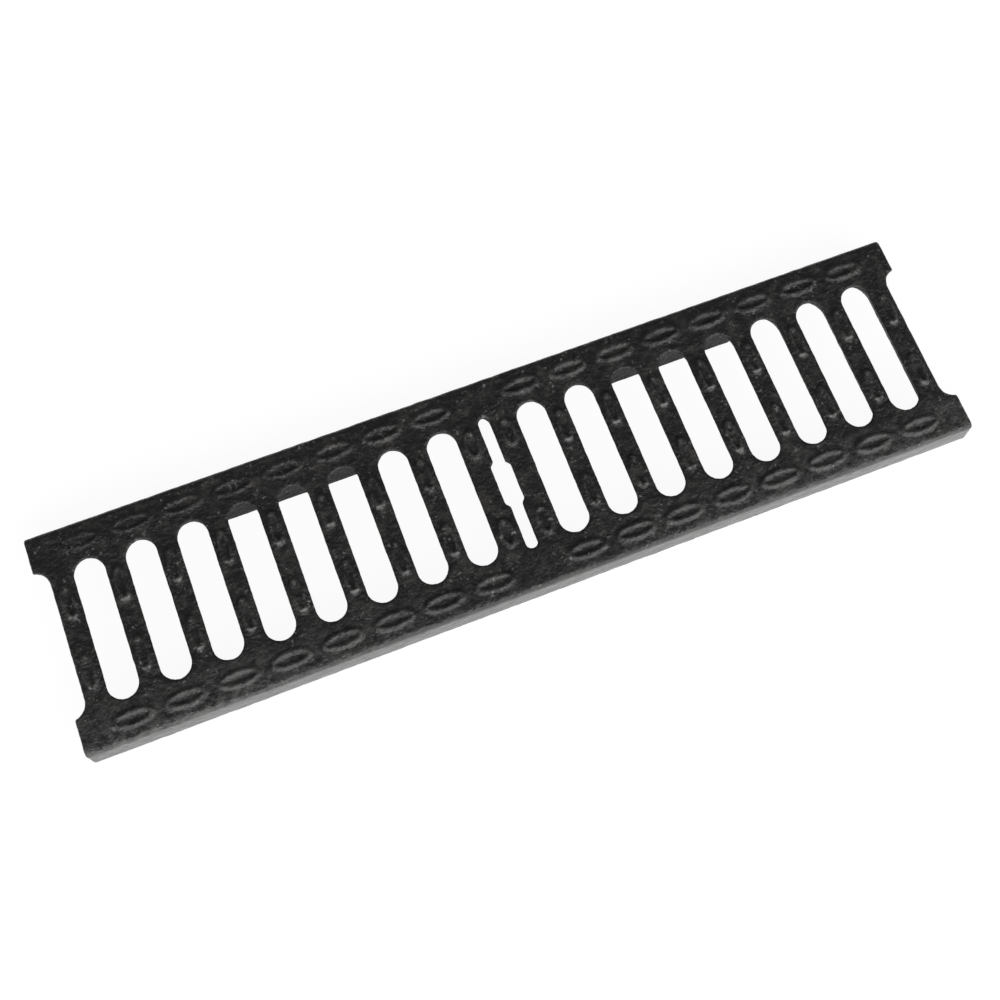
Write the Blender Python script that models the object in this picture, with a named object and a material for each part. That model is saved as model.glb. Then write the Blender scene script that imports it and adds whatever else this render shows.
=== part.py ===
"""Channel drain grate: one iron casting that closes half a metre of a 100 mm drainage channel.

The grate lies along X with its walking surface up. It stands on four lugs at Z = 0, and its
origin is under the middle of the grate. Every height below is a depth under the deck plane,
which is the flat of the walking surface between the raised rings.
"""

import math

import bmesh
import bpy
from mathutils import Matrix

# Overall sizes, in metres, measured at the foot of the outer faces
LENGTH = 0.500
WIDTH = 0.124

# Depths under the deck plane
RAIL_DEPTH = 0.016
DECK_DEPTH = 0.011
LUG_DEPTH = 0.0207

# Rails along both sides
RAIL_WIDTH = 0.0235
SEAT_WIDTH = 0.014
SIDE_TAPER = 0.0016
EDGE_ROUND = 0.0035
END_ROUND = 0.001
FOOT_CHAMFER = 0.0008
POCKET_DRAFT = math.radians(6)
POCKET_FILLET = 0.002

# Slots across the grate, and the recess at each end that is half a slot
PITCH = 0.028
SLOT_WIDTH = 0.0165
SLOT_FLARE = math.radians(20)
MOUTH_ROUND = 0.0012
RECESS_DEPTH = 0.0074
RECESS_EXTRA = 0.0015

# Lock slot in the middle, for the bolt that holds the grate down
LOCK_WIDTH = 0.0066
LOCK_WIDE_WIDTH = 0.011
LOCK_WIDE_LENGTH = 0.028
LOCK_FLARE = math.radians(7)
LOCK_SIDE_BAR = 0.009

# Raised rings that give grip
RING_HEIGHT = 0.0013
RING_SLOPE = 0.0012
RING_CREST = 0.0012
RING_HOLLOW = 0.0008
RING_SINK = 0.0005
RING_MARGIN = 0.0008
RAIL_RING_WIDTH = 0.0095
RAIL_RING_GAP = 0.005
BAR_RING_LENGTH = 0.020
LOCK_RING_LENGTH = 0.017

# Lugs underneath that keep the grate centred in its channel
CHANNEL_WIDTH = 0.100
LUG_CLEARANCE = 0.001
LUG_INSET = 0.0005
LUG_SLOT_COUNT = 3
LUG_MIDDLE_SLOT = 4
LUG_DRAFT = math.radians(4)
LUG_ROUND = 0.0012

# Facets of the round forms
SLOT_FACETS = 16
LOCK_WIDE_FACETS = 8
MOUTH_STEPS = 2
EDGE_STEPS = 3
RAIL_RING_FACETS = 12
BAR_RING_FACETS = 10

# How far a tool passes the surface that it opens
TOOL_OVERRUN = 0.001


def clear_scene():
    """Take every object out of the scene."""
    for item in list(bpy.data.objects):
        bpy.data.objects.remove(item, do_unlink=True)


def make_collection(name):
    """Add a collection to the scene."""
    group = bpy.data.collections.new(name)
    bpy.context.scene.collection.children.link(group)
    return group


def black_cast_iron():
    """Black dip paint on a rough sand casting."""
    material = bpy.data.materials.new("black_cast_iron")
    material.use_nodes = True
    shader = material.node_tree.nodes["Principled BSDF"]
    shader.inputs["Base Color"].default_value = (0.022, 0.021, 0.021, 1.0)
    shader.inputs["Metallic"].default_value = 0.0
    shader.inputs["Roughness"].default_value = 0.5
    return material


def add_object(name, bm, group):
    """Turn a bmesh into an object with its normals outward."""
    bmesh.ops.recalc_face_normals(bm, faces=bm.faces)
    mesh = bpy.data.meshes.new(name)
    bm.to_mesh(mesh)
    bm.free()
    item = bpy.data.objects.new(name, mesh)
    group.objects.link(item)
    return item


def add_tool(name, bm, group):
    """Make an object that only shapes another one."""
    tool = add_object(name, bm, group)
    tool.hide_render = True
    tool.display_type = "WIRE"
    return tool


def combine(target, tool, operation):
    """Cut the tool from the target, or join it on, with an exact Boolean."""
    step = target.modifiers.new(tool.name, "BOOLEAN")
    step.operation = operation
    step.solver = "EXACT"
    step.object = tool
    with bpy.context.temp_override(object=target, active_object=target):
        bpy.ops.object.modifier_apply(modifier=step.name)


def slot_half_length():
    """Middle of the grate to the end of a slot."""
    return WIDTH / 2 - RAIL_WIDTH


def slot_centres():
    """X of the slots on the +X half, counted from the middle outward.

    They are set out inward from the end of the grate, so that two grates laid end to end carry
    on the same pitch.
    """
    first_allowed = LOCK_WIDE_WIDTH / 2 + LOCK_SIDE_BAR + SLOT_WIDTH / 2
    count = math.floor((LENGTH / 2 - first_allowed) / PITCH)
    return [LENGTH / 2 - PITCH * step for step in range(count, 0, -1)]


def ring_places():
    """Middle and half sizes of the rings in one quarter of the grate.

    One lies over every slot on the rail, one on every bar, and one on the bar by the lock slot.
    """
    slot_end = slot_half_length()
    centres = slot_centres()
    rail_y = (slot_end + WIDTH / 2 - SIDE_TAPER) / 2
    rail_half = (PITCH - RAIL_RING_GAP) / 2
    bar_half = (PITCH - SLOT_WIDTH) / 2 - MOUTH_ROUND - RING_MARGIN
    lock_x = (LOCK_WIDTH / 2 + centres[0] - SLOT_WIDTH / 2) / 2
    lock_y = (LOCK_WIDE_LENGTH / 2 + slot_end) / 2
    places = [(lock_x, lock_y, RAIL_RING_WIDTH / 2, LOCK_RING_LENGTH / 2)]
    for x in centres:
        places.append((x, rail_y, rail_half, RAIL_RING_WIDTH / 2))
        places.append((x + PITCH / 2, slot_end / 2, bar_half, BAR_RING_LENGTH / 2))
    return places


def block(bm, low, high):
    """Add a box between two corners and return its vertices."""
    size = [b - a for a, b in zip(low, high)]
    middle = [(a + b) / 2 for a, b in zip(low, high)]
    place = Matrix.Translation(middle) @ Matrix.Diagonal((*size, 1.0))
    return bmesh.ops.create_cube(bm, size=1.0, matrix=place)["verts"]


def edges_where(bm, test):
    """Edges whose middle point passes a test."""
    return [edge for edge in bm.edges if test((edge.verts[0].co + edge.verts[1].co) / 2)]


def round_edges(bm, edges, radius, steps):
    """Round or chamfer a set of edges."""
    bmesh.ops.bevel(bm, geom=edges, offset=radius, offset_type="OFFSET", segments=steps,
                    profile=0.5, affect="EDGES", clamp_overlap=True)


def blank_body(group):
    """The solid casting before its openings: sides that lean in under a round edge, and plain ends."""
    bm = bmesh.new()
    foot = LUG_DEPTH - RAIL_DEPTH
    block(bm, (-LENGTH / 2, -WIDTH / 2, foot), (LENGTH / 2, WIDTH / 2, LUG_DEPTH))
    for vert in bm.verts:
        if vert.co.z > LUG_DEPTH - RAIL_DEPTH / 2:
            vert.co.y -= math.copysign(SIDE_TAPER, vert.co.y)
    middle = WIDTH / 2 - SIDE_TAPER * 1.01
    long_edges = edges_where(bm, lambda point: point.z > LUG_DEPTH - FOOT_CHAMFER and abs(point.y) > middle)
    round_edges(bm, long_edges, EDGE_ROUND, EDGE_STEPS)
    rims = [edge for edge in bm.edges if all(abs(vert.co.x) > LENGTH / 2 - END_ROUND for vert in edge.verts)
            and any(vert.co.z > foot + FOOT_CHAMFER for vert in edge.verts)]
    round_edges(bm, rims, END_ROUND, MOUTH_STEPS)
    bottom = [edge for edge in bm.edges if all(vert.co.z < foot + FOOT_CHAMFER for vert in edge.verts)]
    round_edges(bm, bottom, FOOT_CHAMFER, 1)
    bmesh.ops.remove_doubles(bm, verts=bm.verts, dist=0.00001)
    return add_object("grate", bm, group)


def pocket_tool(group):
    """The hollow between the two seats, under the deck, open at both ends."""
    bm = bmesh.new()
    ceiling = LUG_DEPTH - DECK_DEPTH
    floor = LUG_DEPTH - RAIL_DEPTH - TOOL_OVERRUN
    half = WIDTH / 2 - SEAT_WIDTH
    reach = LENGTH / 2 + TOOL_OVERRUN
    block(bm, (-reach, -half, floor), (reach, half, ceiling))
    lean = math.tan(POCKET_DRAFT) * (ceiling - floor)
    for vert in bm.verts:
        if vert.co.z < (ceiling + floor) / 2:
            vert.co.y += math.copysign(lean, vert.co.y)
    upper = [edge for edge in bm.edges
             if all(vert.co.z > ceiling - POCKET_FILLET / 2 for vert in edge.verts)
             and edge.verts[0].co.y * edge.verts[1].co.y > 0]
    round_edges(bm, upper, POCKET_FILLET, MOUTH_STEPS)
    return add_tool("pocket_tool", bm, group)


def turned(bm, profile, facets):
    """Turn a profile of radius and height pairs round Z, and return the vertices it makes."""
    old = set(bm.verts)
    verts = [bm.verts.new((radius, 0.0, height)) for radius, height in profile]
    edges = [bm.edges.new(pair) for pair in zip(verts, verts[1:])]
    bmesh.ops.spin(bm, geom=verts + edges, cent=(0, 0, 0), axis=(0, 0, 1), angle=2 * math.pi,
                   steps=facets, use_merge=True)
    new = [vert for vert in bm.verts if vert not in old]
    bmesh.ops.remove_doubles(bm, verts=new, dist=0.000001)
    return [vert for vert in bm.verts if vert not in old]


def slot_solid(bm, x, width, length, side_flare, end_flare, facets):
    """Add the solid of one slot: a turned plug whose two halves are pulled apart along Y.

    Its top follows the rounded mouth of the slot, carried on past the deck plane, and below that
    it widens downward. The facets lie outside the round, so that the straight walls are at their
    true width.
    """
    half = width / 2
    depth = DECK_DEPTH + TOOL_OVERRUN
    wall = depth - MOUTH_ROUND
    mouth = []
    for step in range(MOUTH_STEPS + 1):
        turn = math.pi / 2 * step / MOUTH_STEPS
        mouth.append((half + MOUTH_ROUND * (1 - math.sin(turn)), -MOUTH_ROUND * (1 - math.cos(turn))))
    top = (2 * mouth[0][0] - mouth[1][0], 2 * mouth[0][1] - mouth[1][1])
    bottom = (half + wall * math.tan(side_flare), -depth)
    profile = [(0.0, top[1]), top, *mouth[1:], bottom, (0.0, -depth)]
    outside = 1 / math.cos(math.pi / facets)
    plug = turned(bm, [(radius * outside, height) for radius, height in profile], facets)
    bmesh.ops.rotate(bm, verts=plug, cent=(0, 0, 0), matrix=Matrix.Rotation(math.pi / facets, 3, "Z"))
    extra = math.tan(end_flare) - math.tan(side_flare)
    for vert in plug:
        if abs(vert.co.y) > 0.00001:
            below = max(0.0, -vert.co.z - MOUTH_ROUND)
            vert.co.y += math.copysign(length / 2 - half + extra * below, vert.co.y)
        vert.co.x += x
        vert.co.z += LUG_DEPTH


def slots_tool(group):
    """All slots at once: the row on each side, the half slots at the ends and the lock slot."""
    bm = bmesh.new()
    length = 2 * slot_half_length()
    end = LENGTH / 2 + SLOT_WIDTH / 2 - RECESS_DEPTH
    for side in (-1, 1):
        for x in slot_centres():
            slot_solid(bm, side * x, SLOT_WIDTH, length, SLOT_FLARE, SLOT_FLARE, SLOT_FACETS)
        slot_solid(bm, side * end, SLOT_WIDTH, length + 2 * RECESS_EXTRA, SLOT_FLARE, SLOT_FLARE,
                   SLOT_FACETS)
    slot_solid(bm, 0.0, LOCK_WIDTH, length, LOCK_FLARE, SLOT_FLARE, SLOT_FACETS)
    return add_tool("slots_tool", bm, group)


def lock_tool(group):
    """The wider middle of the lock slot, eight-sided so that it narrows at 45 degrees."""
    bm = bmesh.new()
    slot_solid(bm, 0.0, LOCK_WIDE_WIDTH, LOCK_WIDE_LENGTH, LOCK_FLARE, LOCK_FLARE, LOCK_WIDE_FACETS)
    return add_tool("lock_tool", bm, group)


def lug(bm, side_x, side_y):
    """Add one lug under a rail. Its inner face stands flush with the ends of three slots."""
    middle = slot_centres()[LUG_MIDDLE_SLOT - 1]
    half = LUG_SLOT_COUNT * PITCH / 2
    inner = slot_half_length() + LUG_INSET
    outer = CHANNEL_WIDTH / 2 - LUG_CLEARANCE
    top = LUG_DEPTH - MOUTH_ROUND - LUG_INSET / math.tan(SLOT_FLARE)
    low = (side_x * middle - half, min(side_y * inner, side_y * outer), 0.0)
    high = (side_x * middle + half, max(side_y * inner, side_y * outer), top)
    verts = block(bm, low, high)
    lean = math.tan(LUG_DRAFT) * (LUG_DEPTH - RAIL_DEPTH)
    foot = [vert for vert in verts if vert.co.z < top / 2]
    for vert in foot:
        vert.co.x -= math.copysign(lean, vert.co.x - side_x * middle)
        if abs(vert.co.y) > (inner + outer) / 2:
            vert.co.y -= side_y * lean
    edges = {edge for vert in foot for edge in vert.link_edges if edge.other_vert(vert) in foot}
    round_edges(bm, list(edges), LUG_ROUND, MOUTH_STEPS)


def ring(bm, x, y, half_x, half_y, facets):
    """Add one raised oval ring: a turned ridge, stretched to the oval with its width kept.

    On a narrow bar the ridge is slimmer, so that a hollow stays open inside it.
    """
    radius = min(half_x, half_y)
    slimming = min(1.0, (radius - RING_HOLLOW) / (2 * RING_SLOPE + RING_CREST))
    slope = RING_SLOPE * slimming
    crest = RING_CREST * slimming
    run = slope * RING_SINK / RING_HEIGHT
    outer = (radius + run, -RING_SINK)
    inner = (radius - 2 * slope - crest - run, -RING_SINK)
    crown = [(radius - slope, RING_HEIGHT), (radius - slope - crest, RING_HEIGHT)]
    for vert in turned(bm, [outer, *crown, inner, outer], facets):
        distance = math.hypot(vert.co.x, vert.co.y)
        vert.co.x = x + vert.co.x * (half_x - radius + distance) / distance
        vert.co.y = y + vert.co.y * (half_y - radius + distance) / distance
        vert.co.z += LUG_DEPTH


def added_forms_tool(group):
    """The lugs and the rings, laid out alike in the four quarters of the grate.

    They are joined on in one step after the slots are cut, so that the lugs close the slots' flare.
    """
    bm = bmesh.new()
    for side_x in (-1, 1):
        for side_y in (-1, 1):
            lug(bm, side_x, side_y)
            for x, y, half_x, half_y in ring_places():
                facets = RAIL_RING_FACETS if half_x > half_y else BAR_RING_FACETS
                ring(bm, side_x * x, side_y * y, half_x, half_y, facets)
    return add_tool("added_forms_tool", bm, group)


def build():
    """Model the grate."""
    clear_scene()
    parts = make_collection("channel_drain_grate")
    tools = make_collection("tools")
    grate = blank_body(parts)
    combine(grate, pocket_tool(tools), "DIFFERENCE")
    combine(grate, slots_tool(tools), "DIFFERENCE")
    combine(grate, lock_tool(tools), "DIFFERENCE")
    combine(grate, added_forms_tool(tools), "UNION")
    grate.data.shade_smooth()
    grate.data.set_sharp_from_angle(angle=math.radians(35))
    grate.data.materials.append(black_cast_iron())


build()
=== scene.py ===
"""Looks of the channel drain grate: the finished casting, its black paint and a white studio."""

import math
from contextlib import contextmanager

import bmesh
import bpy
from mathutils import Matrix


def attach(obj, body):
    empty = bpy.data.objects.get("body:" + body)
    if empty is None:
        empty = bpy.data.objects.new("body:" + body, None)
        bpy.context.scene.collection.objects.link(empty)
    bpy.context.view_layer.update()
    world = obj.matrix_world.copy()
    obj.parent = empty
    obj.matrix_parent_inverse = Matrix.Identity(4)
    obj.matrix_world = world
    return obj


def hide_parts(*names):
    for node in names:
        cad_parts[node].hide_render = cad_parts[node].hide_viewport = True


bl_info = {
    "name": "Channel drain grate",
    "version": (1, 0, 0),
    "blender": (4, 5, 0),
    "location": "View3D > Sidebar > Drain grate",
    "description": "Adds a black cast drain grate and the white studio around it",
    "category": "Add Mesh",
}

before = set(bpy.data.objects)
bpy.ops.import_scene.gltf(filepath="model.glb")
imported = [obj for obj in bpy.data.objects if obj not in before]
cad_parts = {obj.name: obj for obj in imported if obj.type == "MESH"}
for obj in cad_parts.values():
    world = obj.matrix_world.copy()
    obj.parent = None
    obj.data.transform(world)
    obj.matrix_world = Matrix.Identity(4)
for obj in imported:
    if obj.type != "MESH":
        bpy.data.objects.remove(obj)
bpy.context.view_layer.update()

# Working distances in metres.
NEAR = 0.0001     # A point this close to a plane lies on it
SAME = 0.00001    # Points this close are one point
BEYOND = 0.001    # How far the pocket's cutter passes the metal

RIDGE_INSET = 0.9         # From a ring's edge in to its middle line, in radii of its ridge
TRIANGLE_LIMIT = 190000   # The finished mesh is thinned to this


class GrateSizes(bpy.types.PropertyGroup):
    """Sizes of the casting. Depths are measured down from the deck between the raised rings."""

    length: bpy.props.FloatProperty(
        name="Length", description="Along the channel", default=0.500, unit="LENGTH")
    width: bpy.props.FloatProperty(
        name="Width", description="Across the channel", default=0.124, unit="LENGTH")
    deck: bpy.props.FloatProperty(
        name="Deck height", description="From the foot of the lugs to the deck", default=0.0207,
        unit="LENGTH")
    inset: bpy.props.FloatProperty(
        name="Inset", description="How far the plain ends and the lugs' feet stay inside the CAD box",
        default=0.00003, unit="LENGTH")
    rail_depth: bpy.props.FloatProperty(
        name="Rail depth", description="Depth of the two side rails", default=0.016, unit="LENGTH")
    bar_depth: bpy.props.FloatProperty(
        name="Bar depth", description="Depth of the cross bars", default=0.011, unit="LENGTH")
    rail_width: bpy.props.FloatProperty(
        name="Rail width", description="From the outer edge to the slot ends", default=0.0235,
        unit="LENGTH")
    seat_width: bpy.props.FloatProperty(
        name="Seat width", description="Flat under each rail that lies in the channel's rebate",
        default=0.014, unit="LENGTH")
    taper: bpy.props.FloatProperty(
        name="Side taper", description="How far the outer faces lean in", default=0.0016, unit="LENGTH")
    edge_round: bpy.props.FloatProperty(
        name="Edge radius", description="Rounding of the outer top edge", default=0.0027, unit="LENGTH")
    end_round: bpy.props.FloatProperty(
        name="End radius", description="Rounding round the two plain ends", default=0.001, unit="LENGTH")
    pocket_round: bpy.props.FloatProperty(
        name="Pocket radius", description="Rounding along the ceiling of the pocket underneath",
        default=0.002, unit="LENGTH")
    pocket_draft: bpy.props.FloatProperty(
        name="Pocket draft", description="Width of the pocket's mouth against that of its ceiling",
        default=1.013)
    pitch: bpy.props.FloatProperty(
        name="Slot pitch", description="From one slot to the next", default=0.028, unit="LENGTH")
    slot_width: bpy.props.FloatProperty(
        name="Slot width", description="Width of a slot at its neck", default=0.0165, unit="LENGTH")
    slot_flare: bpy.props.FloatProperty(
        name="Slot flare", description="How the slots' long walls open downward",
        default=math.radians(20), subtype="ANGLE")
    end_flare: bpy.props.FloatProperty(
        name="End flare", description="How the walls at the slot ends open downward",
        default=math.radians(30), subtype="ANGLE")
    mouth_round: bpy.props.FloatProperty(
        name="Mouth radius", description="Rounding round the top of a slot", default=0.0012,
        unit="LENGTH")
    recess_depth: bpy.props.FloatProperty(
        name="Recess depth", description="Depth of the half slot at each end", default=0.0074,
        unit="LENGTH")
    recess_extra: bpy.props.FloatProperty(
        name="Recess extra", description="How much longer the half slots are than the slots",
        default=0.003, unit="LENGTH")
    lock_width: bpy.props.FloatProperty(
        name="Lock slot width", description="Narrow slot in the middle", default=0.0066, unit="LENGTH")
    lock_wide_width: bpy.props.FloatProperty(
        name="Lock slot middle", description="Width of its wider middle", default=0.011, unit="LENGTH")
    lock_wide_length: bpy.props.FloatProperty(
        name="Lock middle length", description="Length of its wider middle", default=0.028,
        unit="LENGTH")
    lock_flare: bpy.props.FloatProperty(
        name="Lock flare", description="How the lock slot's walls open downward",
        default=math.radians(7), subtype="ANGLE")
    ring_height: bpy.props.FloatProperty(
        name="Ring height", description="Rise of the grip rings above the deck", default=0.0013,
        unit="LENGTH")
    ring_fade: bpy.props.FloatProperty(
        name="Ring fade", description="How much lower the far rail's rings stand at the -X end",
        default=0.0007, unit="LENGTH")
    rail_ring: bpy.props.FloatVectorProperty(
        name="Rail rings", description="Half length, half width and ridge radius", size=3,
        default=(0.0115, 0.00475, 0.0016), unit="LENGTH")
    bar_ring: bpy.props.FloatVectorProperty(
        name="Bar rings", description="Half width, half length and ridge radius", size=3,
        default=(0.00375, 0.010, 0.0014), unit="LENGTH")
    lock_ring: bpy.props.FloatVectorProperty(
        name="Lock rings", description="Half width, half length and ridge radius", size=3,
        default=(0.0046, 0.0085, 0.0015), unit="LENGTH")
    channel_width: bpy.props.FloatProperty(
        name="Channel width", description="Clear width that the lugs drop into", default=0.100,
        unit="LENGTH")
    lug_play: bpy.props.FloatProperty(
        name="Lug play", description="Gap between a lug and the channel's wall", default=0.001,
        unit="LENGTH")
    lug_step: bpy.props.FloatProperty(
        name="Lug step", description="From the slots' ends out to a lug's inner face", default=0.0005,
        unit="LENGTH")
    lug_drop: bpy.props.FloatProperty(
        name="Lug drop", description="From the foot of the slots' rounding down to the top of a lug",
        default=0.0014, unit="LENGTH")
    lug_lean: bpy.props.FloatProperty(
        name="Lug lean", description="How far a lug's outer face leans in at its foot", default=0.0004,
        unit="LENGTH")
    lug_draft: bpy.props.FloatProperty(
        name="Lug draft", description="Length of a lug's foot against that of its top", default=0.992)
    lug_round: bpy.props.FloatProperty(
        name="Lug radius", description="Rounding round a lug's foot", default=0.0006, unit="LENGTH")
    lug_slots: bpy.props.IntProperty(
        name="Slots over a lug", description="How many slots one lug lies under", default=3, min=1)
    lug_slot: bpy.props.IntProperty(
        name="Slot at a lug's middle", description="Counted outward from the lock slot", default=4,
        min=1)
    swell: bpy.props.FloatProperty(
        name="Casting swell", description="Depth of the broad unevenness", default=0.0004,
        unit="LENGTH")
    swell_size: bpy.props.FloatProperty(
        name="Swell size", description="Breadth of the broad unevenness", default=0.006, unit="LENGTH")
    grain: bpy.props.FloatProperty(
        name="Casting grain", description="Depth of the sand-cast grain", default=0.00022,
        unit="LENGTH")
    grain_size: bpy.props.FloatProperty(
        name="Grain size", description="Breadth of the sand-cast grain", default=0.0016, unit="LENGTH")
    voxel: bpy.props.FloatProperty(
        name="Mesh fineness", description="Cell size of the fused surface", default=0.0007,
        unit="LENGTH")
    edge_loss: bpy.props.FloatProperty(
        name="Edge allowance", description="Metal added at slot edges for what smoothing takes off",
        default=0.0003, unit="LENGTH")


class GrateFinish(bpy.types.PropertyGroup):
    """Colours and gloss of the black dip paint, where it is worn or made paler, and the light painted on it:
    highlights at the bar rings' front tips and a reflection on the outer sides.
    """

    paint: bpy.props.FloatVectorProperty(
        name="Paint", description="Black dip paint", subtype="COLOR", size=3,
        default=(0.012, 0.0118, 0.0118))
    paint_thin: bpy.props.FloatVectorProperty(
        name="Thin paint", description="Where the paint is thin and the iron shows grey",
        subtype="COLOR", size=3, default=(0.052, 0.049, 0.046))
    fleck: bpy.props.FloatVectorProperty(
        name="Bare fleck", description="Bare iron and grit that shows as pale specks",
        subtype="COLOR", size=3, default=(0.16, 0.16, 0.152))
    worn: bpy.props.FloatVectorProperty(
        name="Rubbed paint", description="Crests of the rings, where feet rub the paint",
        subtype="COLOR", size=3, default=(0.055, 0.054, 0.052))
    # A painted highlight: pale spots at the front tips of the rings on the bars, where they face the front
    # light and catch its glint.
    painted_glint: bpy.props.FloatVectorProperty(
        name="Bare tips", description="Front tips of the rings on the bars, rubbed bare",
        subtype="COLOR", size=3, default=(0.22, 0.22, 0.21))
    # A painted reflection: this grey on the outer sides stands in for the bright floor they mirror. The same
    # grey makes the front rail paler.
    reflection_and_pale_grey: bpy.props.FloatVectorProperty(
        name="Grey film", description="Dry grey film on the outer sides and dust on the front rail",
        subtype="COLOR", size=3, default=(0.078, 0.078, 0.076))
    roughness: bpy.props.FloatProperty(
        name="Roughness", description="Mean roughness of the paint", default=0.32, min=0.0, max=1.0,
        subtype="FACTOR")
    worn_above: bpy.props.FloatProperty(
        name="Worn above", description="Height above which the paint is rubbed thin", default=0.0213,
        unit="LENGTH")
    worn_rise: bpy.props.FloatProperty(
        name="Worn rise", description="Height over which the rubbing sets in", default=0.0005,
        unit="LENGTH")
    # Y of the painted highlights at the front tips of the bar rings.
    tips: bpy.props.FloatVectorProperty(
        name="Tips", description="Y of the front tips of the two rings on a bar", size=2,
        default=(-0.0278, 0.0107), unit="LENGTH")
    # How far each painted tip highlight reaches along Y.
    glint_reach: bpy.props.FloatProperty(
        name="Tip reach", description="How far the bare iron reaches to each side of a tip",
        default=0.0012, unit="LENGTH")
    # Where the painted reflection on the outer sides begins and is full. The same band makes the sides
    # smoother and less pitted.
    side_reflection_across: bpy.props.FloatVectorProperty(
        name="Film across", description="Distance from the middle line where the film begins and is full",
        size=2, default=(0.0597, 0.0605), unit="LENGTH")
    # Along X the painted reflection on the sides is weaker toward the left end.
    side_reflection_along: bpy.props.FloatVectorProperty(
        name="Film along", description="X where the film is thin and where it is full", size=2,
        default=(-0.25, -0.12), unit="LENGTH")
    # Where the front rail is made paler with the grey, toward its ends.
    rail_pale_across: bpy.props.FloatVectorProperty(
        name="Dust across", description="Y where the front rail's dust begins and is full", size=2,
        default=(-0.036, -0.046), unit="LENGTH")
    rail_pale_along: bpy.props.FloatVectorProperty(
        name="Dust along", description="Distance from the lock slot where the dust is thin and is full",
        size=2, default=(0.03, 0.12), unit="LENGTH")
    # Where the front edge is made paler at the left end.
    edge_pale_across: bpy.props.FloatVectorProperty(
        name="Spill across", description="Y where the film over the front edge begins and is full",
        size=2, default=(-0.051, -0.057), unit="LENGTH")
    edge_pale_along: bpy.props.FloatVectorProperty(
        name="Spill along", description="X where the film over the front edge begins and is full",
        size=2, default=(-0.11, -0.17), unit="LENGTH")


class StudioSettings(bpy.types.PropertyGroup):
    """Camera, light and floor."""

    camera_place: bpy.props.FloatVectorProperty(
        name="Camera", description="Where the camera stands", subtype="TRANSLATION", size=3,
        default=(-0.08638, -0.18316, 0.66780))
    camera_turn: bpy.props.FloatVectorProperty(
        name="Camera turn", description="How the camera is turned", subtype="EULER", size=3,
        default=(math.radians(16.498), math.radians(-0.965), math.radians(-21.010)))
    lens: bpy.props.FloatProperty(
        name="Lens", description="Focal length in millimetres on a 36 mm sensor", default=45.58)
    key_power: bpy.props.FloatProperty(
        name="Softbox power", description="Power of the wide softbox", default=6.0, unit="POWER")
    key_place: bpy.props.FloatVectorProperty(
        name="Softbox", description="Where the wide softbox stands", subtype="TRANSLATION", size=3,
        default=(0.5, -1.5, 0.9))
    key_size: bpy.props.FloatVectorProperty(
        name="Softbox size", description="Width and height of the wide softbox", size=2,
        default=(2.0, 0.9), unit="LENGTH")
    wall: bpy.props.FloatProperty(
        name="Front wall", description="Brightness of the wall in front", default=2.4)
    wall_front: bpy.props.FloatVectorProperty(
        name="Wall to the front", description="Y of the directions where the wall begins and is full",
        size=2, default=(-0.1, -0.6))
    wall_top: bpy.props.FloatVectorProperty(
        name="Wall top", description="Z of the directions where the wall begins and is full", size=2,
        default=(0.94, 0.75))
    room: bpy.props.FloatProperty(
        name="Room", description="Brightness of the room elsewhere", default=0.13)
    floor_size: bpy.props.FloatProperty(
        name="Floor", description="Side of the square floor", default=8.0, unit="LENGTH")
    floor_glow: bpy.props.FloatProperty(
        name="Floor white", description="Brightness of the floor's plain white", default=1.07)
    floor_plain: bpy.props.FloatProperty(
        name="Plain share", description="Share of plain white. The rest of the floor takes the shadow",
        default=0.88, min=0.0, max=1.0, subtype="FACTOR")
    floor_under: bpy.props.FloatProperty(
        name="Floor under the grate", description="How white reflections show the floor there",
        default=0.08, min=0.0, max=1.0, subtype="FACTOR")
    floor_fade: bpy.props.FloatVectorProperty(
        name="Floor fade", description="Outward from the grate's outline, where that fades and is gone",
        size=2, default=(-0.005, -0.001), unit="LENGTH")


def select_only(*items):
    """Select these objects and nothing else. The first becomes the active one."""
    bpy.ops.object.select_all(action="DESELECT")
    for item in items:
        item.select_set(True)
    bpy.context.view_layer.objects.active = items[0]


@contextmanager
def editing(item):
    """Work on one object in edit mode."""
    select_only(item)
    bpy.ops.object.mode_set(mode="EDIT")
    yield
    bpy.ops.object.mode_set(mode="OBJECT")


def pick_points(item, test):
    """Select the points of the edited mesh that pass a test."""
    bpy.ops.mesh.select_mode(type="VERT")
    bpy.ops.mesh.select_all(action="DESELECT")
    mesh = bmesh.from_edit_mesh(item.data)
    for vert in mesh.verts:
        if test(vert.co):
            vert.select = True
    mesh.select_flush(True)
    bmesh.update_edit_mesh(item.data)


def pick_edges(item, test):
    """Select the edges of the edited mesh whose two ends pass a test."""
    bpy.ops.mesh.select_mode(type="EDGE")
    bpy.ops.mesh.select_all(action="DESELECT")
    mesh = bmesh.from_edit_mesh(item.data)
    for edge in mesh.edges:
        edge.select_set(test(edge.verts[0].co, edge.verts[1].co))
    bmesh.update_edit_mesh(item.data)


def round_edges(radius, segments):
    """Round the selected edges of the edited mesh."""
    bpy.ops.mesh.bevel(offset=radius, segments=segments, affect="EDGES", offset_type="OFFSET")


def apply_place():
    """Put the place, turn and scale of the selected objects into their points."""
    bpy.ops.object.transform_apply(location=True, rotation=True, scale=True)


def apply_modifier(item, kind, **settings):
    """Add a modifier with these settings and apply it."""
    modifier = item.modifiers.new(kind.title(), kind)
    for name, value in settings.items():
        setattr(modifier, name, value)
    select_only(item)
    bpy.ops.object.modifier_apply(modifier=modifier.name)


def cut(item, cutter):
    """Cut one object out of another and delete the cutter."""
    apply_modifier(item, "BOOLEAN", operation="DIFFERENCE", solver="EXACT", object=cutter)
    select_only(cutter)
    bpy.ops.object.delete()


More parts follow.
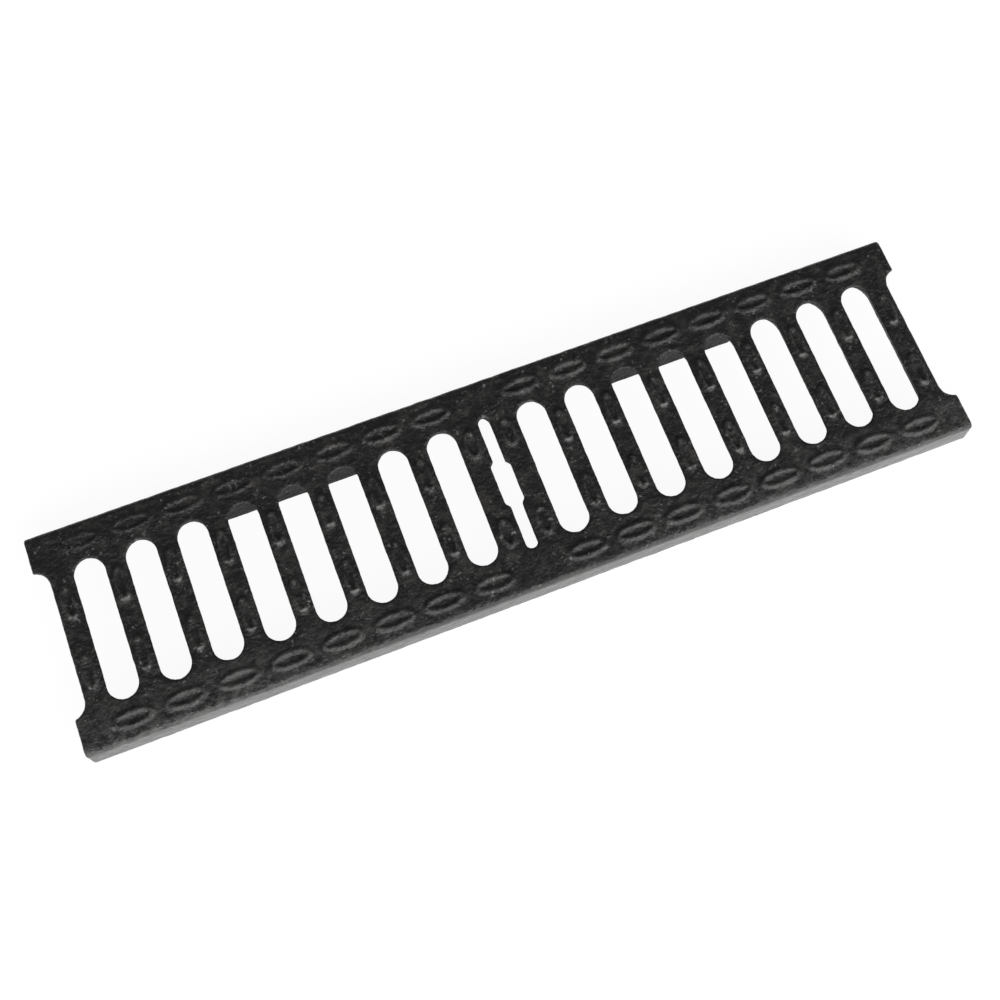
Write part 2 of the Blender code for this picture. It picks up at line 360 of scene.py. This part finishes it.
def add_block(name, low, high):
    """Add a box between two corners."""
    middle = [(a + b) / 2 for a, b in zip(low, high)]
    bpy.ops.mesh.primitive_cube_add(size=1.0, location=middle, scale=[b - a for a, b in zip(low, high)])
    apply_place()
    bpy.context.object.name = name
    return bpy.context.object


def copy_to(item, *places):
    """Place copies of an object, delete the original, and join the copies into one object."""
    copies = []
    for place in places:
        select_only(item)
        bpy.ops.object.duplicate(linked=False)
        bpy.ops.transform.translate(value=place)
        apply_place()
        copies.append(bpy.context.object)
    select_only(item)
    bpy.ops.object.delete()
    select_only(*copies)
    bpy.ops.object.join()
    return bpy.context.object


def slot_places(sizes):
    """X of the slots on the +X half, innermost first. They are set out in whole pitches from the end."""
    count = int((sizes.length / 2 - sizes.lock_width / 2 - sizes.slot_width / 2) / sizes.pitch)
    return [sizes.length / 2 - sizes.pitch * step for step in range(count, 0, -1)]


def slot_reach(sizes):
    """From the middle of the grate to the end of a slot."""
    return sizes.width / 2 - sizes.rail_width


def slot_profile(sizes, half, side_flare, end_flare, overrun):
    """Half widths along X and Y and the height of each step down a slot: its round mouth, then its wall."""
    steps = 5
    wall = sizes.bar_depth - sizes.mouth_round + overrun
    profile = [(half + sizes.mouth_round, half + sizes.mouth_round, sizes.deck)]
    for step in range(1, steps + 1):
        turn = math.pi / 2 * step / steps
        mouth = half + sizes.mouth_round * (1 - math.sin(turn))
        profile.append((mouth, mouth, sizes.deck - sizes.mouth_round * (1 - math.cos(turn))))
    profile.append((half + wall * math.tan(side_flare), half + wall * math.tan(end_flare),
                    sizes.deck - sizes.mouth_round - wall))
    return profile


def add_slot_cutter(name, sizes, width, length, side_flare, end_flare, facets):
    """Add the solid that a slot takes away: a round plug extruded down in steps, pulled long along Y.

    No corner of the plug lies on its middle line, so that the pull leaves straight walls.
    """
    half = width / 2 - sizes.edge_loss
    pull = length / 2 - half
    overrun = 0.002
    reach_x = reach_y = half + sizes.mouth_round
    height = sizes.deck + overrun
    bpy.ops.mesh.primitive_circle_add(vertices=facets, radius=reach_x / math.cos(math.pi / facets),
                                      fill_type="NGON", location=(0, 0, height),
                                      rotation=(0, 0, math.pi / facets))
    apply_place()
    cutter = bpy.context.object
    cutter.name = name
    with editing(cutter):
        bpy.ops.mesh.select_all(action="SELECT")
        for next_x, next_y, next_height in slot_profile(sizes, half, side_flare, end_flare, overrun):
            bpy.ops.mesh.extrude_region_move(
                TRANSFORM_OT_translate={"value": (0, 0, next_height - height)})
            bpy.ops.transform.resize(value=(next_x / reach_x, next_y / reach_y, 1),
                                     center_override=(0, 0, next_height))
            reach_x, reach_y, height = next_x, next_y, next_height
        pick_points(cutter, lambda point: point.y > 0)
        bpy.ops.transform.translate(value=(0, pull, 0))
        pick_points(cutter, lambda point: point.y < 0)
        bpy.ops.transform.translate(value=(0, -pull, 0))
        bpy.ops.mesh.select_all(action="SELECT")
        bpy.ops.mesh.normals_make_consistent(inside=False)
    return cutter


def add_body(sizes):
    """Add the solid slab of the casting, with its leaning sides, round edges and plain ends."""
    foot = sizes.deck - sizes.rail_depth
    half = sizes.length / 2 - sizes.inset
    body = add_block("grate_casting", (-half, -sizes.width / 2, foot), (half, sizes.width / 2, sizes.deck))
    top = sizes.deck - NEAR
    lean = (1, 1 - 2 * sizes.taper / sizes.width, 1)
    with editing(body):
        pick_points(body, lambda point: point.z > top)
        bpy.ops.transform.resize(value=lean, center_override=(0, 0, sizes.deck))
        pick_edges(body, lambda one, two: min(one.z, two.z) > top and one.y * two.y > 0)
        round_edges(sizes.edge_round, segments=6)
        pick_edges(body, lambda one, two: abs(one.x - two.x) < NEAR and max(one.z, two.z) > foot + NEAR)
        round_edges(sizes.end_round, segments=3)
        bpy.ops.mesh.select_all(action="SELECT")
        bpy.ops.mesh.remove_doubles(threshold=SAME)
        bpy.ops.mesh.normals_make_consistent(inside=False)
    return body


def cut_pocket(body, sizes):
    """Hollow the underside between the two seats."""
    ceiling = sizes.deck - sizes.bar_depth
    floor = sizes.deck - sizes.rail_depth - BEYOND
    half = sizes.width / 2 - sizes.seat_width
    reach = sizes.length / 2 + BEYOND
    pocket = add_block("pocket_cutter", (-reach, -half, floor), (reach, half, ceiling))
    with editing(pocket):
        pick_points(pocket, lambda point: point.z < ceiling - NEAR)
        bpy.ops.transform.resize(value=(1, sizes.pocket_draft, 1), center_override=(0, 0, floor))
        pick_edges(pocket, lambda one, two: min(one.z, two.z) > ceiling - NEAR and one.y * two.y > 0)
        round_edges(sizes.pocket_round, segments=4)
    cut(body, pocket)


def cut_slots(body, sizes):
    """Cut the row of slots, the half slot at each end and the lock slot."""
    length = 2 * slot_reach(sizes)
    slot = add_slot_cutter("slot_cutter", sizes, sizes.slot_width, length,
                           sizes.slot_flare, sizes.end_flare, facets=48)
    cut(body, copy_to(slot, *[(side * x, 0, 0) for side in (-1, 1) for x in slot_places(sizes)]))
    end_x = sizes.length / 2 + sizes.slot_width / 2 - sizes.recess_depth
    end = add_slot_cutter("end_cutter", sizes, sizes.slot_width, length + sizes.recess_extra,
                          sizes.slot_flare, sizes.end_flare, facets=48)
    cut(body, copy_to(end, (-end_x, 0, 0), (end_x, 0, 0)))
    cut(body, add_slot_cutter("lock_cutter", sizes, sizes.lock_width, length,
                              sizes.lock_flare, sizes.slot_flare, facets=24))
    cut(body, add_slot_cutter("lock_middle_cutter", sizes, sizes.lock_wide_width, sizes.lock_wide_length,
                              sizes.lock_flare, sizes.lock_flare, facets=8))


def add_lugs(sizes):
    """Add the four lugs that keep the grate centred. Their inner faces close three slots' flare."""
    middle = slot_places(sizes)[sizes.lug_slot - 1]
    half = sizes.lug_slots * sizes.pitch / 2
    inner = slot_reach(sizes) + sizes.lug_step - sizes.edge_loss
    outer = sizes.channel_width / 2 - sizes.lug_play
    foot = sizes.inset
    top = sizes.deck - sizes.mouth_round - sizes.lug_drop
    lugs = []
    for side in (-1, 1):
        low, high = sorted((side * inner, side * outer))
        lug = add_block("lug", (-half, low, foot), (half, high, top))
        with editing(lug):
            pick_points(lug, lambda point: point.z < foot + NEAR)
            bpy.ops.transform.resize(value=(sizes.lug_draft, 1, 1), center_override=(0, 0, foot))
            pick_points(lug, lambda point: point.z < foot + NEAR and abs(point.y) > (inner + outer) / 2)
            bpy.ops.transform.translate(value=(0, -side * sizes.lug_lean, 0))
            pick_edges(lug, lambda one, two: max(one.z, two.z) < foot + NEAR)
            round_edges(sizes.lug_round, segments=2)
        lugs.append(copy_to(lug, (-middle, 0, 0), (middle, 0, 0)))
    return lugs


def add_ring(name, sizes, shape):
    """Add one oval ring of round section, sunk so that its crest stands at the ring height."""
    half_x, half_y, ridge = shape
    sink = sizes.deck + sizes.ring_height - ridge
    bpy.ops.object.select_all(action="DESELECT")
    bpy.ops.curve.primitive_bezier_circle_add(radius=1.0, location=(0, 0, sink))
    bpy.ops.transform.resize(value=(half_x - ridge * RIDGE_INSET, half_y - ridge * RIDGE_INSET, 1.0))
    apply_place()
    ring = bpy.context.object
    ring.name = name
    for point in ring.data.splines[0].bezier_points:
        point.radius = 1.0    # The scale changed it too
    ring.data.bevel_depth = ridge
    ring.data.bevel_resolution = 3
    ring.data.resolution_u = 8
    bpy.ops.object.convert(target="MESH")
    return bpy.context.object


def ring_drop(sizes, x, side):
    """How a rail's ring is moved in Z. On the far rail the rings sink toward the -X end."""
    if side < 0:
        return 0.0
    return -sizes.ring_fade * max(0.0, -x) / (sizes.length / 2)


def add_rings(sizes):
    """Add the grip rings: over every slot on both rails, two on every bar and four at the lock slot."""
    reach = slot_reach(sizes)
    places = slot_places(sizes)
    sides = [(side_x, side_y) for side_x in (-1, 1) for side_y in (-1, 1)]
    rail_y = (reach + sizes.width / 2 - sizes.taper) / 2
    bar_y = reach / 2
    lock_x = (sizes.lock_width / 2 + places[0] - sizes.slot_width / 2) / 2
    lock_y = (sizes.lock_wide_length / 2 + reach) / 2
    on_rails = [(a * x, b * rail_y, ring_drop(sizes, a * x, b)) for a, b in sides for x in places]
    on_bars = [(a * (x + sizes.pitch / 2), b * bar_y, 0) for a, b in sides for x in places]
    at_lock = [(a * lock_x, b * lock_y, 0) for a, b in sides]
    return [copy_to(add_ring("rail_ring", sizes, sizes.rail_ring), *on_rails),
            copy_to(add_ring("bar_ring", sizes, sizes.bar_ring), *on_bars),
            copy_to(add_ring("lock_ring", sizes, sizes.lock_ring), *at_lock)]


def roughen(casting, name, breadth, depth):
    """Push the surface unevenly, more inward than outward, as sand leaves it."""
    pattern = bpy.data.textures.new(name, "CLOUDS")
    pattern.noise_scale = breadth
    pattern.noise_depth = 2
    apply_modifier(casting, "DISPLACE", texture=pattern, texture_coords="LOCAL", strength=depth,
                   mid_level=0.75)


def fuse(casting, sizes):
    """Fuse all forms into one cast skin with soft inner corners, and give it the sand-cast grain."""
    apply_modifier(casting, "REMESH", mode="VOXEL", voxel_size=sizes.voxel)
    apply_modifier(casting, "SMOOTH", factor=0.5, iterations=3)
    roughen(casting, "sand_swell", sizes.swell_size, sizes.swell)
    roughen(casting, "sand_grain", sizes.grain_size, sizes.grain)
    triangles = len(casting.data.polygons) * 2
    apply_modifier(casting, "DECIMATE", ratio=min(1.0, TRIANGLE_LIMIT / triangles))
    select_only(casting)
    bpy.ops.object.shade_smooth()


def link(tree, source, target):
    """Join an output socket to an input socket."""
    tree.links.new(source, target)


def read_axes(tree, place):
    """Split coordinates into X, Y and Z."""
    node = tree.nodes.new("ShaderNodeSeparateXYZ")
    link(tree, place, node.inputs["Vector"])
    return node.outputs


def add_noise(tree, place, scale, detail, roughness, label):
    """Add a noise pattern on object coordinates."""
    node = tree.nodes.new("ShaderNodeTexNoise")
    node.label = label
    node.inputs["Scale"].default_value = scale
    node.inputs["Detail"].default_value = detail
    node.inputs["Roughness"].default_value = roughness
    link(tree, place, node.inputs["Vector"])
    return node.outputs["Fac"]


def add_range(tree, value, low, high, to_low, to_high, label):
    """Remap a value from one range to another, clamped."""
    node = tree.nodes.new("ShaderNodeMapRange")
    node.label = label
    for name, number in (("From Min", low), ("From Max", high), ("To Min", to_low), ("To Max", to_high)):
        node.inputs[name].default_value = number
    link(tree, value, node.inputs["Value"])
    return node.outputs["Result"]


def add_math(tree, operation, label, *values):
    """Calculate with values. Each is a number or an output socket."""
    node = tree.nodes.new("ShaderNodeMath")
    node.operation = operation
    node.label = label
    for socket, value in zip(node.inputs, values):
        if isinstance(value, bpy.types.NodeSocket):
            link(tree, value, socket)
        else:
            socket.default_value = value
    return node.outputs["Value"]


def add_product(tree, one, two, label):
    """Multiply two values."""
    return add_math(tree, "MULTIPLY", label, one, two)


def add_larger(tree, one, two, label):
    """Take the larger of two values."""
    return add_math(tree, "MAXIMUM", label, one, two)


def add_distance(tree, value, label):
    """Take a coordinate's distance from zero."""
    return add_math(tree, "ABSOLUTE", label, value)


def add_mix(tree, factor, one, two, label):
    """Mix two colours. Each is a colour or an output socket."""
    node = tree.nodes.new("ShaderNodeMix")
    node.data_type = "RGBA"
    node.label = label
    link(tree, factor, node.inputs["Factor"])
    for name, value in (("A", one), ("B", two)):
        sockets = [item for item in node.inputs if item.name == name and item.type == "RGBA"]
        if isinstance(value, bpy.types.NodeSocket):
            link(tree, value, sockets[0])
        else:
            sockets[0].default_value = (*value, 1.0)
    return next(item for item in node.outputs if item.type == "RGBA")


def add_bump(tree, height, distance, strength, normal=None):
    """Raise the surface by a pattern, on top of an earlier bump if one is given."""
    node = tree.nodes.new("ShaderNodeBump")
    node.inputs["Distance"].default_value = distance
    link(tree, strength, node.inputs["Strength"])
    link(tree, height, node.inputs["Height"])
    if normal is not None:
        link(tree, normal, node.inputs["Normal"])
    return node.outputs["Normal"]


def paint_patches(tree, place, finish):
    """Black paint, grey in patches where it is thin."""
    patches = add_noise(tree, place, 120.0, 4.0, 0.65, "patches of thin paint")
    thin = add_range(tree, patches, 0.48, 0.72, 0.0, 0.8, "thin paint")
    return add_mix(tree, thin, finish.paint, finish.paint_thin, "paint and thin paint")


def rub_crests_and_paint_glints(tree, colour, axes, rubbed, finish):
    """Rub the paint thin on the rings' crests, and paint highlights as pale spots at the front tips of the
    rings on the bars.
    """
    above, rise = finish.worn_above, finish.worn_rise
    high = add_range(tree, axes["Z"], above, above + rise, 0.0, 1.0, "crests")
    crest = add_product(tree, high, add_range(tree, rubbed, 0.42, 0.60, 0.0, 0.7, "rubbed"), "rubbed crests")
    colour = add_mix(tree, crest, colour, finish.worn, "rubbed paint")
    # Painted highlight: pale spots at the front tips of the bar rings, on the raised part only, broken into
    # patches by the rubbing noise.
    raised = add_range(tree, axes["Z"], above - rise, above, 0.0, 1.0, "raised")
    glint_patches = add_range(tree, rubbed, 0.36, 0.52, 0.0, 0.9, "rubbed bare")
    for tip in finish.tips:
        before = add_range(tree, axes["Y"], tip - finish.glint_reach, tip, 0.0, 1.0, "before a tip")
        after = add_range(tree, axes["Y"], tip + finish.glint_reach, tip, 0.0, 1.0, "after a tip")
        spot = add_product(tree, add_product(tree, before, after, "near a tip"), glint_patches, "bare spot")
        colour = add_mix(tree, add_product(tree, spot, raised, "bare tip"), colour, finish.painted_glint, "bare iron")
    return colour


def scatter_flecks(tree, colour, place, grit, finish):
    """Scatter pale flecks of grit in groups."""
    grouped = add_noise(tree, place, 110.0, 2.0, 0.6, "where grit gathers")
    specks = add_product(tree, add_range(tree, grit, 0.60, 0.69, 0.0, 1.0, "specks"),
                         add_range(tree, grouped, 0.48, 0.62, 0.0, 0.9, "gathered"), "gathered specks")
    return add_mix(tree, specks, colour, finish.fleck, "flecks on paint")


def paint_side_reflection(tree, colour, place, axes, outer, finish):
    """Paint a reflection on the outer sides as grey: a painted reflection of the bright floor in front,
    weaker at the left end.
    """
    reflection_and_pale_grey = add_noise(tree, place, 45.0, 3.0, 0.6, "uneven film")
    side_reflection = add_product(tree, outer, add_range(tree, reflection_and_pale_grey, 0.30, 0.50, 0.5, 1.0, "reflection_and_pale_grey"), "film on the sides")
    along = add_range(tree, axes["X"], *finish.side_reflection_along, 0.65, 1.0, "along")
    return add_mix(tree, add_product(tree, side_reflection, along, "thinner at the left end"), colour, finish.reflection_and_pale_grey,
                   "grey film")


def pale_front_rail(tree, colour, axes, rubbed, finish):
    """Make the front rail paler in broken patches toward its ends, and paler over its front edge at the left
    end.
    """
    paler_rail = add_product(tree, add_range(tree, axes["Y"], *finish.rail_pale_across, 0.0, 0.55, "front rail"),
                        add_range(tree, add_distance(tree, axes["X"], "from the lock slot"),
                                  *finish.rail_pale_along, 0.2, 1.0, "toward the ends"), "dusty rail")
    paler_edge = add_product(tree, add_range(tree, axes["Y"], *finish.edge_pale_across, 0.0, 0.9, "front edge"),
                        add_range(tree, axes["X"], *finish.edge_pale_along, 0.0, 1.0, "left end"), "front left")
    broken = add_range(tree, rubbed, 0.38, 0.62, 0.0, 1.0, "broken film")
    share = add_product(tree, add_larger(tree, paler_rail, paler_edge, "dust or spilt film"), broken, "broken dust")
    return add_mix(tree, share, colour, finish.reflection_and_pale_grey, "dust and film over the edge")


def pit_surface(tree, place, grit, outer):
    """Sand pitting and grit as bumps, both weaker on the outer sides."""
    coarse = add_noise(tree, place, 260.0, 4.0, 0.65, "sand pitting")
    pitted = add_bump(tree, coarse, 0.0017, add_range(tree, outer, 0.0, 1.0, 0.8, 0.2, "pitting strength"))
    return add_bump(tree, grit, 0.0004, add_range(tree, outer, 0.0, 1.0, 0.4, 0.1, "grit strength"), pitted)


def black_dip_paint(finish):
    """Black dip paint over a sand casting: satin, grey where thin, rubbed, pitted and gritty, with painted
    highlights at the bar rings' front tips, a painted reflection on the outer sides and paler patches on the
    front rail.
    """
    material = bpy.data.materials.new("black_dip_paint")
    material.use_nodes = True
    tree = material.node_tree
    shader = tree.nodes["Principled BSDF"]
    place = tree.nodes.new("ShaderNodeTexCoord").outputs["Object"]
    axes = read_axes(tree, place)
    # Noise for the rubbed crests. It also breaks up the painted tip highlights and the paler patches on the
    # front rail.
    rubbed = add_noise(tree, place, 260.0, 3.0, 0.6, "where feet rub")
    grit = add_noise(tree, place, 600.0, 2.0, 0.5, "grit")
    # The outer sides: there the reflection is painted as grey, and the paint is smoother and less pitted.
    outer = add_range(tree, add_distance(tree, axes["Y"], "from the middle line"), *finish.side_reflection_across,
                      0.0, 1.0, "outer sides")

    colour = paint_patches(tree, place, finish)
    colour = rub_crests_and_paint_glints(tree, colour, axes, rubbed, finish)
    colour = scatter_flecks(tree, colour, place, grit, finish)
    # Painted reflection on the outer sides.
    colour = paint_side_reflection(tree, colour, place, axes, outer, finish)
    # The front rail made paler toward its ends and over its front edge at the left.
    colour = pale_front_rail(tree, colour, axes, rubbed, finish)
    link(tree, colour, shader.inputs["Base Color"])
    shader.inputs["Specular IOR Level"].default_value = 0.5

    sheen = add_noise(tree, place, 220.0, 3.0, 0.6, "uneven gloss")
    dull = add_range(tree, sheen, 0.3, 0.7, finish.roughness - 0.08, finish.roughness + 0.14, "roughness")
    calm = add_range(tree, outer, 0.0, 1.0, 1.0, 0.6, "smoother sides")
    link(tree, add_product(tree, dull, calm, "roughness all over"), shader.inputs["Roughness"])
    link(tree, pit_surface(tree, place, grit, outer), shader.inputs["Normal"])
    return material


class GRATE_OT_casting(bpy.types.Operator):
    """Add the finished casting"""

    bl_idname = "grate.casting"
    bl_label = "Casting"

    def execute(self, context):
        sizes = context.scene.grate_sizes
        body = add_body(sizes)
        cut_pocket(body, sizes)
        cut_slots(body, sizes)
        parts = [body, *add_lugs(sizes), *add_rings(sizes)]
        select_only(*parts)
        bpy.ops.object.join()
        casting = bpy.context.object
        casting.name = "grate_casting"
        fuse(casting, sizes)
        casting.data.materials.clear()
        casting.data.materials.append(black_dip_paint(context.scene.grate_finish))
        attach(casting, "root")
        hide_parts("grate")
        return {"FINISHED"}


def distance_out(tree, value, half):
    """How far a coordinate lies outside a strip of this half width about zero, and negative inside it."""
    return add_math(tree, "SUBTRACT", "past the edge", add_distance(tree, value, "from the middle"), half)


def seen_directly(tree, mirrored):
    """One on rays from the camera, and the given value on those off a glossy surface or through glass."""
    path = tree.nodes.new("ShaderNodeLightPath")
    total = path.outputs["Is Camera Ray"]
    for name in ("Is Glossy Ray", "Is Transmission Ray"):
        total = add_larger(tree, total, add_product(tree, path.outputs[name], mirrored, name), "seen")
    return total


def white_floor(settings, sizes):
    """Plain white with a faint shadow. Reflections show it dark under the grate and white around it."""
    material = bpy.data.materials.new("white_floor")
    material.use_nodes = True
    tree = material.node_tree
    shader = tree.nodes["Principled BSDF"]
    shader.inputs["Base Color"].default_value = (0.8, 0.8, 0.8, 1.0)
    shader.inputs["Roughness"].default_value = 1.0
    shader.inputs["Specular IOR Level"].default_value = 0.0
    glow = tree.nodes.new("ShaderNodeEmission")
    glow.inputs["Strength"].default_value = settings.floor_glow
    axes = read_axes(tree, tree.nodes.new("ShaderNodeTexCoord").outputs["Object"])
    outside = add_larger(tree, distance_out(tree, axes["X"], sizes.length / 2),
                         distance_out(tree, axes["Y"], sizes.width / 2), "outside the grate")
    mirrored = add_range(tree, outside, *settings.floor_fade, settings.floor_under, 1.0, "in reflections")
    share = add_range(tree, seen_directly(tree, mirrored), 0.0, 1.0, 0.0, settings.floor_plain,
                      "share of plain white")
    mix = tree.nodes.new("ShaderNodeMixShader")
    link(tree, share, mix.inputs["Fac"])
    link(tree, shader.outputs["BSDF"], mix.inputs[1])
    link(tree, glow.outputs["Emission"], mix.inputs[2])
    link(tree, mix.outputs["Shader"], tree.nodes["Material Output"].inputs["Surface"])
    return material


def add_floor(settings, sizes):
    """Add the floor that the grate lies on."""
    bpy.ops.mesh.primitive_plane_add(size=settings.floor_size, location=(0, 0, 0))
    floor = bpy.context.object
    floor.name = "studio_floor"
    floor.data.materials.append(white_floor(settings, sizes))


def set_world(settings):
    """White where the camera looks. For the light, a bright wall in front and a dim room elsewhere."""
    world = bpy.data.worlds.new("white_studio")
    world.use_nodes = True
    tree = world.node_tree
    axes = read_axes(tree, tree.nodes.new("ShaderNodeTexCoord").outputs["Generated"])
    wall = add_product(tree, add_range(tree, axes["Y"], *settings.wall_front, 0.0, 1.0, "in front"),
                       add_range(tree, axes["Z"], *settings.wall_top, 0.0, 1.0, "low down"), "front wall")
    sky = add_range(tree, wall, 0.0, 1.0, settings.room, settings.wall, "room and wall")
    path = tree.nodes.new("ShaderNodeLightPath")
    colour = add_mix(tree, path.outputs["Is Camera Ray"], sky, (1.0, 1.0, 1.0), "white to the camera")
    link(tree, colour, tree.nodes["Background"].inputs["Color"])
    bpy.context.scene.world = world


def add_softbox(name, place, size, power):
    """Add a rectangular softbox that faces the middle of the grate."""
    bpy.ops.object.light_add(type="AREA", location=place)
    lamp = bpy.context.object
    lamp.name = name
    lamp.data.shape = "RECTANGLE"
    lamp.data.size, lamp.data.size_y = size
    lamp.data.energy = power
    x, y, z = place
    lamp.rotation_euler = (math.atan2(math.hypot(x, y), z), 0, math.atan2(x, -y))


def add_camera(settings):
    """Add the camera that stands where the photograph was taken from."""
    bpy.ops.object.camera_add(location=settings.camera_place, rotation=settings.camera_turn)
    camera = bpy.context.object
    camera.name = "photo_camera"
    camera.data.sensor_width = 36.0
    camera.data.lens = settings.lens
    camera.data.clip_start = 0.01
    bpy.context.scene.camera = camera


class GRATE_OT_studio(bpy.types.Operator):
    """Add the floor, the light and the camera"""

    bl_idname = "grate.studio"
    bl_label = "Studio"

    def execute(self, context):
        settings = context.scene.grate_studio
        add_floor(settings, context.scene.grate_sizes)
        set_world(settings)
        add_softbox("front_softbox", settings.key_place, settings.key_size, settings.key_power)
        add_camera(settings)
        context.scene.view_settings.view_transform = "Standard"
        return {"FINISHED"}


class GRATE_PT_panel(bpy.types.Panel):
    """Lists the parts of the scene and their settings"""

    bl_label = "Drain grate"
    bl_idname = "GRATE_PT_panel"
    bl_space_type = "VIEW_3D"
    bl_region_type = "UI"
    bl_category = "Drain grate"

    def draw(self, context):
        scene = context.scene
        for title, group, action in (("Casting", scene.grate_sizes, "grate.casting"),
                                     ("Paint", scene.grate_finish, None),
                                     ("Studio", scene.grate_studio, "grate.studio")):
            box = self.layout.box()
            box.label(text=title)
            for name in group.__annotations__:
                box.prop(group, name)
            if action:
                box.operator(action)


CLASSES = (GrateSizes, GrateFinish, StudioSettings, GRATE_OT_casting, GRATE_OT_studio, GRATE_PT_panel)
GROUPS = {"grate_sizes": GrateSizes, "grate_finish": GrateFinish, "grate_studio": StudioSettings}


def register():
    for item in CLASSES:
        bpy.utils.register_class(item)
    for name, group in GROUPS.items():
        setattr(bpy.types.Scene, name, bpy.props.PointerProperty(type=group))


def unregister():
    for name in GROUPS:
        delattr(bpy.types.Scene, name)
    for item in reversed(CLASSES):
        bpy.utils.unregister_class(item)


def main():
    register()
    bpy.ops.grate.casting()
    bpy.ops.grate.studio()


if __name__ == "__main__":
    main()
